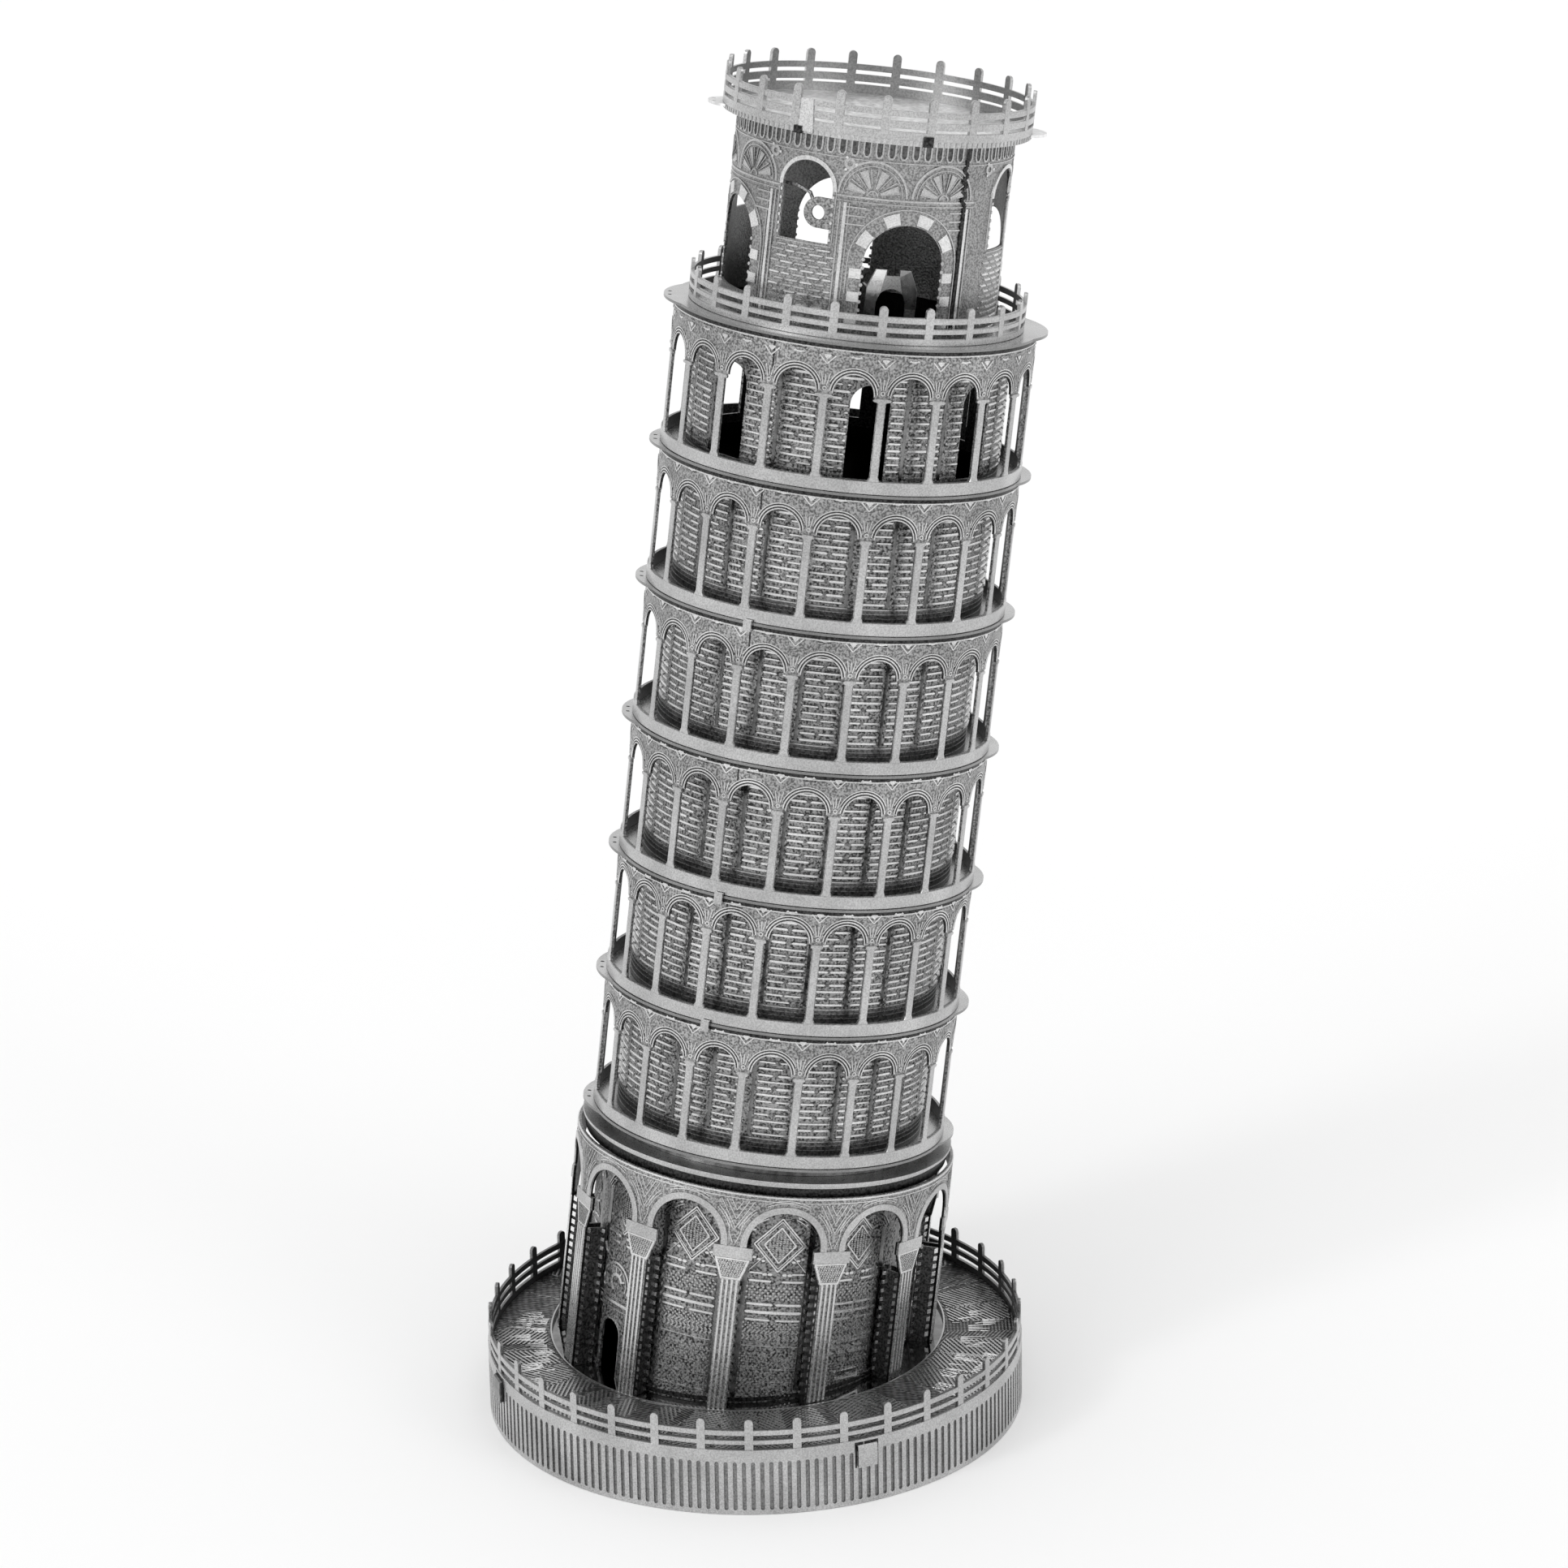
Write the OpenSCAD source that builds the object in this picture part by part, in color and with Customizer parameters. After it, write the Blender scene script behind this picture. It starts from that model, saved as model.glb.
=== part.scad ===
// Leaning bell tower: a desk souvenir folded from thin etched steel sheet.
// Every strip, disc and bracket of the model is a separate solid.
// The origin is the centre of the plinth's lower edge, +Z is up, -Y is the front.
// An azimuth is counted from the front, turning towards +X.

/* [Sheet] */
// Thickness of the steel sheet
sheet_t = 0.2; // [0.15:0.01:0.3]
// Clearance between two sheets that meet
sheet_gap = 0.02; // [0.01:0.01:0.04]

/* [Lean] */
// Lean of the tower towards +X, in degrees
lean_right = 7; // [0:0.5:8]
// Lean of the tower away from the front, in degrees
lean_back = 5; // [0:0.5:6]

/* [Plinth] */
// Outer radius of the plinth
plinth_r = 20.5; // [20:0.1:22]
// Height of the plinth band below its railing
plinth_h = 5.35; // [5:0.05:5.6]
// Height of the paved plaza's top face
plaza_z = 4.85; // [4.7:0.05:5]
// Radius of the round opening in the plaza
basin_r = 15.35; // [15.25:0.05:16.5]

/* [Ground storey] */
// Outer radius of the ground arcade
ground_r = 14.45; // [14.3:0.05:14.7]
// Number of ground arches
ground_arches = 12; // [10:1:14]
// Outer radius of the wall behind the ground arches
ground_wall_r = 12.6; // [12:0.1:12.8]
// Radius of a ground arch
ground_arch_r = 2.77; // [2:0.05:2.8]
// Width of a ground column
ground_column_w = 1.4; // [1:0.1:1.6]

/* [Galleries] */
// Outer radius of the six gallery arcades
gallery_r = 13.45; // [13.2:0.05:13.6]
// Outer radius of the round walls behind the arcades
core_r = 11.7; // [11.2:0.1:12.2]
// Number of arches in a gallery
gallery_arches = 20; // [16:1:22]
// Width of a gallery column
gallery_column_w = 0.65; // [0.5:0.05:0.8]
// Radius of a gallery arch
gallery_arch_r = 1.46; // [1.2:0.02:1.6]

/* [Belfry] */
// Outer radius of the belfry wall
belfry_r = 10.2; // [9.8:0.1:10.6]
// Height of the belfry deck to the top deck
belfry_h = 14.6; // [14:0.1:15.4]
// Width of a belfry window
window_w = 3.98; // [3:0.02:4.2]
// Width of a belfry portal
portal_w = 6; // [5:0.1:6.2]

/* [Hidden] */
$fn = 96;
STOREYS = 6;

// Foot of the tower's axis; heights h below are measured from it along the axis.
tower_foot = [-0.8, 1.6, 4.5];
// Middle planes of the deck plates that carry gallery 1 to 6 and the belfry
deck_h = [18, 28.4, 38.3, 48.6, 59.1, 69.6, 80.5];
top_deck_h = deck_h[STOREYS] + belfry_h;
// A tube's end stands this far from the middle of the plate it meets.
seat = sheet_t / 2 + sheet_gap;
// Cutters run this far past what they cut.
past = 1;
// Side of the large cutting blocks
block = 60;
// Clearance round a tab in its slot
slot_gap = 0.1;
// Length by which railing posts run into the band below them
overlap = 0.1;
// Overlap of an arch's round top and the straight opening below it
join = 0.01;

// The basin is the shallow round sink in which the tower stands.
basin_centre = [-0.55, 2.15];
floor_z = 4.35;
floor_top = floor_z + sheet_t;
collar_t = 0.12;
collar_top = plaza_z + 0.08;
floor_lap = 0.6;

// Azimuths of the paving disc's two locking tabs, which pass through the plinth's strip
plaza_tab_az = [23.2, -71.4];
plaza_tab_w = 1.45;
plaza_tab_foot = 3.15;
tab_reach = 0.25;

plinth_posts = 36;
plinth_post_turn = -1.7;
plinth_seam_az = -70;
plinth_rails = [[5.73, 6.13], [6.46, 6.92]];
plinth_post_top = 7.84;
post_w = 0.65;

// The walls and columns of the ground storey run down past the basin's floor and are cut there.
column_foot_h = -3.4;
ground_turn = -8.5;
ground_pitch_w = 2 * ground_r * sin(180 / ground_arches);
shaft_top_h = 9.3;
neck_step = 0.1;
capital_top_h = 10.95;
abacus_top_h = 11.95;
capital_w = 2.7;
abacus_w = 2.95;
ground_spring_h = 12.1;
ground_top_h = 16.17;
flange_in_r = ground_wall_r + 0.15;
door_az = -56.6;
door_w = 2.3;
door_spring_h = 1.35;

skirt_h = 16.55;
skirt_r = 13.9;
cornice_r = 14.2;
cornice_plate_h = 17.1;
setback_r = 12.5;

gallery_pitch_w = 2 * gallery_r * sin(180 / gallery_arches);
gallery_turn = [6, 7, 8, 8, 8.2, 8.4];
gallery_sill = 1.1;
gallery_spring = 7.3;
gallery_capital = [6.9, 7.2];
gallery_capital_w = 0.92;
column_flare = 0.15;

// The uppermost gallery's doors; heights are above its deck.
gallery_door_az = [-48.5, 6.2, 51.5, 131.5, 179.5, 228.5];
gallery_door_w = 2.95;
gallery_door_foot = 0.8;
gallery_door_spring = 6.3;
deck_r = 13.62;
ear_tip_r = 14.3;
ear_r = 7.2;
ear_hole_d = 0.3;
ear_hole_inset = 0.45;
ear_hole_y = 0.7;

// Portals and windows alternate round the belfry.
portal_az = [15, 108, 191, 288];
portal_foot = 1.7;
portal_spring = 5.4;
window_az = [70.5, 150, 241, 331.5];
window_sill = 6.45;
window_top = 12.3;

// The bell frame stands in front of the axis, its arch a little to the right.
bell_az = 8;
bell_r = 4.9;
bell_shift = 1.55;
bell_foot_half = 1.9;
bell_top_half = 1.3;
bell_shoulder_h = 2.7;
bell_frame_h = 4.1;
bell_arch_w = 2.2;
bell_notch = [1, 0.45];
bell_fold = 1.9;

// The bell ring hangs behind a window on an arm that reaches the wall.
ring_az = -25.65;
ring_r = 9;
ring_h = 8.45;
ring_outer = 1.12;
ring_hole = 0.52;
ring_tail = 2.4;
ring_arm_w = 0.2;
ring_arm = [[-0.45, 0.75], [-0.8, 1.35], [-1.9, 1.75], [-4.25, 1.8]];

clip_az = -25.5;
clip_w = 0.65;
clip_drop = 0.55;
clip_rise = 0.3;

railing_r = 12.42;
railing_posts = 22;
railing_turn = -42.35;
// Levels of the two upper railings, measured from the deck inside each: band, two rails, post tops
gallery_band = [seat, 0.6];
gallery_rails = [[0.95, 1.32], [1.67, 2.1]];
gallery_post_top = 2.85;
top_band = [-0.25, 0.75];
top_rails = [[0.95, 1.5], [1.8, 2.25]];
top_post_top = 3.23;
top_r = 11.36;
top_posts = 21;
top_turn = -67.8;
top_ear_tip_r = 12.5;
top_ear_r = 2.2;

module lean() {
    translate(tower_foot) rotate([-lean_back, 0, 0]) rotate([0, lean_right, 0]) children();
}

module tube(r_out, low, high, t = sheet_t) {
    translate([0, 0, low])
    difference() {
        cylinder(r = r_out, h = high - low, $fn = 180);
        translate([0, 0, -past]) cylinder(r = r_out - t, h = high - low + 2 * past, $fn = 180);
    }
}

// Stands a flat outline, drawn as width and height, on edge at an azimuth and spans it from r_in to r_out.
module radial(az, r_in, r_out) {
    rotate([0, 0, az]) translate([0, -r_in, 0]) rotate([90, 0, 0]) linear_extrude(r_out - r_in) children();
}

module arch_outline(w, foot, spring) {
    translate([-w / 2, foot]) square([w, spring - foot]);
    translate([0, spring]) circle(d = w);
}

module rectangle(w, low, high) {
    translate([-w / 2, low]) square([w, high - low]);
}

module post_outline(w, low, high) {
    rectangle(w, low, high - w / 2);
    translate([0, high - w / 2]) circle(d = w);
}

// A railing strip: a plain band, two open slot rows between three rails, and posts with round tops.
module railing(r, band_low, band_high, rail_levels, post_top, count, turn) {
    tube(r, band_low, band_high);
    for (level = rail_levels) tube(r, level[0], level[1]);
    intersection() {
        tube(r, band_high - overlap, post_top + past);
        for (i = [0:count - 1])
            radial(turn + i * 360 / count, r - past, r + past)
                post_outline(post_w, band_high - overlap, post_top);
    }
}

module ear_pair(r_tip, r_ear, low) {
    for (side = [-1, 1])
        translate([side * (r_tip - r_ear), 0, low]) cylinder(r = r_ear, h = sheet_t);
}

// A round deck plate with two rounded ears and two small tab holes in the left one.
module deck_plate(r, r_tip, r_ear, mid) {
    difference() {
        union() {
            translate([0, 0, mid - sheet_t / 2]) cylinder(r = r, h = sheet_t, $fn = 180);
            ear_pair(r_tip, r_ear, mid - sheet_t / 2);
        }
        for (side = [-1, 1])
            translate([ear_hole_inset - r_tip, side * ear_hole_y, mid - past])
                cylinder(d = ear_hole_d, h = 2 * past, $fn = 24);
    }
}

module plinth_strip() {
    difference() {
        railing(plinth_r, 0, plinth_h, plinth_rails, plinth_post_top, plinth_posts, plinth_post_turn);
        for (az = plaza_tab_az)
            radial(az, plinth_r - past, plinth_r + past)
                rectangle(plaza_tab_w + 2 * slot_gap, plaza_z - sheet_t - slot_gap, plaza_z + slot_gap);
    }
}

// Half of the strip, on one side of the plane through its two seams
module plinth_half(side) {
    intersection() {
        plinth_strip();
        rotate([0, 0, plinth_seam_az])
            translate([side < 0 ? -block : sheet_gap, -block / 2, -past])
                cube([block, block, block]);
    }
}

module plinth_band_front() { color("#a8a8a8") plinth_half(1); }

module plinth_band_back() { color("#a0a0a0") plinth_half(-1); }

module plaza_tab(az) {
    tip_r = plinth_r + tab_reach;
    radial(az, plinth_r - past, tip_r) rectangle(plaza_tab_w, plaza_z - sheet_t, plaza_z);
    radial(az, tip_r - sheet_t, tip_r) rectangle(plaza_tab_w, plaza_tab_foot, plaza_z);
}

module plaza_disc() {
    color("#787878")
    union() {
        difference() {
            translate([0, 0, plaza_z - sheet_t])
                cylinder(r = plinth_r - sheet_t - sheet_gap, h = sheet_t, $fn = 180);
            translate([basin_centre[0], basin_centre[1], plaza_z - past])
                cylinder(r = basin_r, h = 2 * past, $fn = 180);
        }
        for (az = plaza_tab_az) plaza_tab(az);
    }
}

module basin_floor() {
    color("#6c6c6c")
    translate([basin_centre[0], basin_centre[1], floor_z])
        cylinder(r = basin_r + floor_lap, h = sheet_t, $fn = 180);
}

module basin_collar() {
    color("#c0c0c0")
    translate([basin_centre[0], basin_centre[1], 0])
        tube(basin_r - sheet_gap, floor_top + sheet_gap, collar_top, collar_t);
}

// Cuts what hangs below the basin's floor.
module above_floor() {
    difference() {
        children();
        translate([-block / 2, -block / 2, floor_top + sheet_gap - block]) cube([block, block, block]);
    }
}

module ground_wall() {
    color("#8c8c8c")
    above_floor() lean()
    difference() {
        tube(ground_wall_r, column_foot_h, skirt_h);
        radial(door_az, ground_wall_r - past, ground_wall_r + past)
            arch_outline(door_w, column_foot_h - past, door_spring_h);
    }
}

module ground_bay_outline() {
    shaft = (ground_pitch_w - ground_column_w) / 2;
    capital_foot = shaft - neck_step;
    capital = (ground_pitch_w - capital_w) / 2;
    abacus = (ground_pitch_w - abacus_w) / 2;
    foot = column_foot_h - past;
    polygon([
        [-shaft, foot], [shaft, foot], [shaft, shaft_top_h], [capital_foot, shaft_top_h],
        [capital, capital_top_h], [abacus, capital_top_h], [abacus, abacus_top_h],
        [-abacus, abacus_top_h], [-abacus, capital_top_h], [-capital, capital_top_h],
        [-capital_foot, shaft_top_h], [-shaft, shaft_top_h]
    ]);
    intersection() {
        translate([0, ground_spring_h]) circle(r = ground_arch_r);
        rectangle(4 * ground_arch_r, abacus_top_h - join, ground_top_h);
    }
}

// The two sides of a column, folded back from its front face
module column_flanges(az) {
    mid_x = ground_column_w / 2 - sheet_t;
    front_r = ground_r - sheet_t / 2;
    for (side = [-1, 1])
        rotate([0, 0, az])
            translate([side * mid_x - sheet_t / 2, -front_r, column_foot_h])
                cube([sheet_t, front_r - flange_in_r, shaft_top_h - neck_step - column_foot_h]);
}

module ground_arcade() {
    pitch = 360 / ground_arches;
    color("#9c9c9c")
    above_floor() lean()
    union() {
        difference() {
            tube(ground_r, column_foot_h, ground_top_h);
            for (i = [0:ground_arches - 1])
                radial(ground_turn + (i + 0.5) * pitch, ground_r - past, ground_r + past)
                    ground_bay_outline();
        }
        for (i = [0:ground_arches - 1]) column_flanges(ground_turn + i * pitch);
    }
}

module cornice_skirt() {
    color("#909090") lean() tube(skirt_r, skirt_h, cornice_plate_h - seat);
}

module cornice_plate() {
    color("#a4a4a4") lean()
        translate([0, 0, cornice_plate_h - sheet_t / 2]) cylinder(r = cornice_r, h = sheet_t, $fn = 180);
}

module cornice_setback() {
    color("#606060") lean() tube(setback_r, cornice_plate_h + seat, deck_h[0] - seat);
}

module gallery_deck(k) {
    color("#a4a4a4") lean() deck_plate(deck_r, ear_tip_r, ear_r, deck_h[k]);
}

// The round wall behind an arcade; only the uppermost one has doors.
module gallery_wall(k) {
    low = deck_h[k] + seat;
    color("#888888") lean()
    difference() {
        tube(core_r, low, deck_h[k + 1] - seat);
        if (k == STOREYS - 1)
            for (az = gallery_door_az)
                radial(az, core_r - past, core_r + past)
                    translate([0, deck_h[k]])
                        arch_outline(gallery_door_w, gallery_door_foot, gallery_door_spring);
    }
}

// The opening between two columns: flared at the foot, narrowed by the capitals, round at the top
module gallery_bay_outline() {
    shaft = (gallery_pitch_w - gallery_column_w) / 2;
    foot = shaft - column_flare;
    capital = (gallery_pitch_w - gallery_capital_w) / 2;
    polygon([
        [-foot, gallery_sill], [foot, gallery_sill], [shaft, gallery_sill + 2 * column_flare],
        [shaft, gallery_capital[0]], [capital, gallery_capital[0]], [capital, gallery_capital[1]],
        [-capital, gallery_capital[1]], [-capital, gallery_capital[0]], [-shaft, gallery_capital[0]],
        [-shaft, gallery_sill + 2 * column_flare]
    ]);
    intersection() {
        translate([0, gallery_spring]) circle(r = gallery_arch_r);
        rectangle(4 * gallery_arch_r, gallery_capital[1] - join, gallery_spring + 2 * gallery_arch_r);
    }
}

module gallery_arcade(k) {
    pitch = 360 / gallery_arches;
    color("#b0b0b0") lean()
    difference() {
        tube(gallery_r, deck_h[k] + seat, deck_h[k + 1] - seat);
        for (i = [0:gallery_arches - 1])
            radial(gallery_turn[k] + (i + 0.5) * pitch, gallery_r - past, gallery_r + past)
                translate([0, deck_h[k]]) gallery_bay_outline();
    }
}

module belfry_deck() {
    color("#a4a4a4") lean() deck_plate(deck_r, ear_tip_r, ear_r, deck_h[STOREYS]);
}

module gallery_railing() {
    color("#b4b4b4") lean() translate([0, 0, deck_h[STOREYS]])
        railing(railing_r, gallery_band[0], gallery_band[1], gallery_rails, gallery_post_top,
            railing_posts, railing_turn);
}

module belfry_wall() {
    low = deck_h[STOREYS];
    color("#989898") lean()
    difference() {
        tube(belfry_r, low + seat, top_deck_h - seat);
        for (az = portal_az)
            radial(az, belfry_r - past, belfry_r + past)
                arch_outline(portal_w, low + portal_foot, low + portal_spring);
        for (az = window_az)
            radial(az, belfry_r - past, belfry_r + past)
                arch_outline(window_w, low + window_sill, low + window_top - window_w / 2);
    }
}

module bell_frame_outline() {
    difference() {
        polygon([
            [-bell_foot_half, 0], [bell_foot_half, 0], [bell_foot_half, bell_shoulder_h],
            [bell_top_half, bell_frame_h], [-bell_top_half, bell_frame_h], [-bell_foot_half, bell_shoulder_h]
        ]);
        arch_outline(bell_arch_w, -past, bell_shoulder_h - bell_arch_w / 2);
        rectangle(bell_notch[0], bell_frame_h - bell_notch[1], bell_frame_h + past);
    }
}

// A folded bracket: a flared front with an arch cut in it, and two sides folded back.
module bell_frame() {
    foot = deck_h[STOREYS] + seat;
    side_x = bell_foot_half - sheet_t / 2 - sheet_gap;
    color("#c4c4c4") lean() rotate([0, 0, bell_az]) translate([bell_shift, 0, foot]) {
        radial(0, bell_r - sheet_t, bell_r) bell_frame_outline();
        for (side = [-1, 1])
            translate([side * side_x - sheet_t / 2, sheet_t / 2 - bell_r, 0])
                cube([sheet_t, bell_fold, bell_shoulder_h]);
    }
}

// A strip of width w that follows points, with round ends
module strip_outline(points, w) {
    for (i = [1:len(points) - 1]) {
        way = points[i] - points[i - 1];
        translate(points[i - 1]) circle(d = w, $fn = 24);
        translate(points[i]) circle(d = w, $fn = 24);
        translate(points[i - 1]) rotate(atan2(way[1], way[0]))
            translate([0, -w / 2]) square([norm(way), w]);
    }
}

// A flat ring with a broad tail, on an arm
module bell_ring() {
    color("#909090") lean()
    translate([0, 0, deck_h[STOREYS] + ring_h])
    radial(ring_az, ring_r - sheet_t, ring_r)
    difference() {
        union() {
            circle(ring_outer);
            translate([0, -ring_outer]) square([ring_tail, 2 * ring_outer]);
            strip_outline(ring_arm, ring_arm_w);
        }
        circle(ring_hole, $fn = 24);
    }
}

module top_deck() {
    color("#8c8c8c") lean()
        deck_plate(top_r - sheet_t - sheet_gap, top_ear_tip_r, top_ear_r, top_deck_h);
}

module top_railing() {
    color("#b4b4b4") lean() translate([0, 0, top_deck_h])
    difference() {
        railing(top_r, top_band[0], top_band[1], top_rails, top_post_top, top_posts, top_turn);
        for (az = [-90, 90])
            radial(az, top_r - past, top_r + past)
                rectangle(2 * (top_ear_r + slot_gap), -seat, seat);
    }
}

// Folded tabs that lock the ends of three gallery strips
module seam_clips() {
    color("#c8c8c8") lean()
        for (k = [1, 2, 4])
            radial(clip_az, deck_r + sheet_gap, deck_r + sheet_gap + tab_reach)
                rectangle(clip_w, deck_h[k] - clip_drop, deck_h[k] + clip_rise);
}

plinth_band_front();
plinth_band_back();
plaza_disc();
basin_floor();
basin_collar();
ground_wall();
ground_arcade();
cornice_skirt();
cornice_plate();
cornice_setback();
for (k = [0:STOREYS - 1]) {
    gallery_deck(k);
    gallery_wall(k);
    gallery_arcade(k);
}
belfry_deck();
gallery_railing();
belfry_wall();
bell_frame();
bell_ring();
top_deck();
top_railing();
seam_clips();
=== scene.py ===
"""The looks of a leaning bell tower model, folded from etched steel sheet.

The CAD nodes keep their shape and get steel materials. Raised relief, which the etching leaves
standing on each sheet, is added here: flutes, railing faces, columns, arches, bricks and courses.
Sizes are in millimetres until a mesh is made. Azimuth 0 is the front (-Y) and grows towards +X.
"""
import math
import random

import bmesh
import bpy
from mathutils import Matrix, Vector


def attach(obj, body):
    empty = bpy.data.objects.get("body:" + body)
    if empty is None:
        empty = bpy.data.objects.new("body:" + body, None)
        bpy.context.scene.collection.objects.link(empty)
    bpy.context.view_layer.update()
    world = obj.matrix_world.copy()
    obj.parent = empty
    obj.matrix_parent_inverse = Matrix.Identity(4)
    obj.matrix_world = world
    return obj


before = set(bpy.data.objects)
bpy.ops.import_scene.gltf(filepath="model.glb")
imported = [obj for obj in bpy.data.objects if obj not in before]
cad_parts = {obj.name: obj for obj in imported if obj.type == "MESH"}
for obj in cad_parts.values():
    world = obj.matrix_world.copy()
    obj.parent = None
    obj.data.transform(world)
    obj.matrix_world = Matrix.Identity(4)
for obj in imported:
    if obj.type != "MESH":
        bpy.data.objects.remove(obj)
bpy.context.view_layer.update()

MM = 0.001
random.seed(11)

# ---------------------------------------------------------------- the tower's own frame
FOOT = Vector((-0.8, 1.6, 4.5))
LEAN_BACK = math.radians(5)
LEAN_RIGHT = math.radians(7)
UPRIGHT = Matrix.Identity(4)
LEANING = (
    Matrix.Translation(FOOT)
    @ Matrix.Rotation(-LEAN_BACK, 4, "X")
    @ Matrix.Rotation(LEAN_RIGHT, 4, "Y")
)
AXIS = LEANING.to_3x3() @ Vector((0, 0, 1))

# Middle planes of the decks, measured along the axis from the foot
DECKS = [18, 28.4, 38.3, 48.6, 59.1, 69.6, 80.5]
TOP_DECK = 95.1
# How far a relief piece stands above its sheet if nothing else is said, and how far it sinks into it
SKIN = 0.06
SINK = 0.02

PLINTH_R = 20.5
GROUND_R = 14.45
GROUND_WALL_R = 12.6
WALL_R = 11.7
GALLERY_R = 13.45
BELFRY_R = 10.2
RAILING_R = 12.42
TOP_R = 11.36


# ---------------------------------------------------------------- materials
class Steel:
    """A metallic material under construction, with short ways to add nodes."""

    def __init__(self, name, metallic=1.0):
        self.mat = bpy.data.materials.new(name)
        self.mat.use_nodes = True
        self.nodes = self.mat.node_tree.nodes
        self.links = self.mat.node_tree.links
        self.shader = self.nodes["Principled BSDF"]
        self.shader.inputs["Metallic"].default_value = metallic
        self.coords = self.nodes.new("ShaderNodeTexCoord")

    def noise(self, scale, detail=2.0):
        node = self.nodes.new("ShaderNodeTexNoise")
        node.inputs["Scale"].default_value = scale
        node.inputs["Detail"].default_value = detail
        self.links.new(self.coords.outputs["Object"], node.inputs["Vector"])
        return node.outputs["Fac"]

    def math(self, operation, a, b=None, c=None):
        node = self.nodes.new("ShaderNodeMath")
        node.operation = operation
        for socket, value in zip(node.inputs, (a, b, c)):
            if value is None:
                continue
            if isinstance(value, (int, float)):
                socket.default_value = value
            else:
                self.links.new(value, socket)
        return node.outputs[0]

    def ramp(self, source, stops):
        node = self.nodes.new("ShaderNodeValToRGB")
        elements = node.color_ramp.elements
        elements[0].position, elements[0].color = stops[0][0], (*[stops[0][1]] * 3, 1)
        elements[1].position, elements[1].color = stops[-1][0], (*[stops[-1][1]] * 3, 1)
        for position, value in stops[1:-1]:
            elements.new(position).color = (value, value, value, 1)
        self.links.new(source, node.inputs["Fac"])
        return node.outputs["Color"]

    def vector(self, operation, a, b):
        node = self.nodes.new("ShaderNodeVectorMath")
        node.operation = operation
        self.links.new(a, node.inputs[0])
        if isinstance(b, Vector):
            node.inputs[1].default_value = tuple(b)
        elif b is not None:
            self.links.new(b, node.inputs[1])
        return node.outputs["Value" if operation in ("DOT_PRODUCT", "LENGTH") else "Vector"]

    def away(self):
        """The way from the tower's foot to a point."""
        return self.vector("SUBTRACT", self.coords.outputs["Object"], FOOT * MM)

    def inside(self):
        """1 on faces that look towards the tower's axis, and 0 on the others."""
        facing = self.vector("DOT_PRODUCT", self.away(), self.coords.outputs["Normal"])
        return self.math("LESS_THAN", facing, -2 * MM)

    def sideways(self):
        """1 on faces that look along the tower's girth, and 0 on the others."""
        across = self.vector("CROSS_PRODUCT", self.away(), AXIS)
        girth = self.vector("NORMALIZE", across, None)
        turned = self.vector("DOT_PRODUCT", girth, self.coords.outputs["Normal"])
        return self.math("GREATER_THAN", self.math("ABSOLUTE", turned), 0.6)

    def within(self, radius):
        """1 nearer to the tower's axis than radius, and 0 beyond it."""
        across = self.vector("CROSS_PRODUCT", self.away(), AXIS)
        return self.math("LESS_THAN", self.vector("LENGTH", across, None), radius * MM)

    def rim(self):
        """1 on a plate's narrow edge, and 0 on its flat faces."""
        along = self.vector("DOT_PRODUCT", self.coords.outputs["Normal"], AXIS)
        return self.math("LESS_THAN", self.math("ABSOLUTE", along), 0.5)

    def dimmed(self, where, factor):
        """factor on the faces where a value is 1, and 1 on the others."""
        return self.math("MULTIPLY_ADD", where, factor - 1, 1)

    def finish(self, tone, rough, height, distance):
        self.links.new(tone, self.shader.inputs["Base Color"])
        self.links.new(rough, self.shader.inputs["Roughness"])
        bump = self.nodes.new("ShaderNodeBump")
        bump.inputs["Strength"].default_value = 1.0
        bump.inputs["Distance"].default_value = distance * MM
        self.links.new(height, bump.inputs["Height"])
        self.links.new(bump.outputs["Normal"], self.shader.inputs["Normal"])
        return self.mat


def steel(name, dark, light, rough_low, rough_high, scale, bump_mm, inner=None, shaded_floor_r=None, flank_shade=None):
    """Sheet steel: cloudy tone with a fine grain.

    inner is the tone's factor on faces that look inwards, and flank that on faces that look sideways:
    both are painted shade. room is the radius inside which a floor gets painted shade, in tone and in
    reflections; it also darkens the narrow edges of the plates.
    """
    kit = Steel(name)
    fine = kit.noise(scale)
    cloud = kit.math("MULTIPLY_ADD", kit.noise(240), 0.7, 0.65)
    tone = kit.math("MULTIPLY", kit.ramp(fine, [(0.38, dark), (0.62, light)]), cloud)
    # Painted shade: darker faces that look inwards, and darker faces that look sideways.
    if inner is not None:
        tone = kit.math("MULTIPLY", tone, kit.dimmed(kit.inside(), inner))
    if flank_shade is not None:
        tone = kit.math("MULTIPLY", tone, kit.dimmed(kit.sideways(), flank_shade))
    # Painted shade on the floor near the axis, in tone and reflections, and darker narrow plate edges.
    if shaded_floor_r is not None:
        floor = kit.dimmed(kit.within(shaded_floor_r), 0.05)
        kit.links.new(floor, kit.shader.inputs["Specular Tint"])
        tone = kit.math("MULTIPLY", tone, kit.math("MULTIPLY", floor, kit.dimmed(kit.rim(), 0.45)))
    rough = kit.ramp(fine, [(0.35, rough_low), (0.65, rough_high)])
    return kit.finish(tone, rough, fine, bump_mm)


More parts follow.
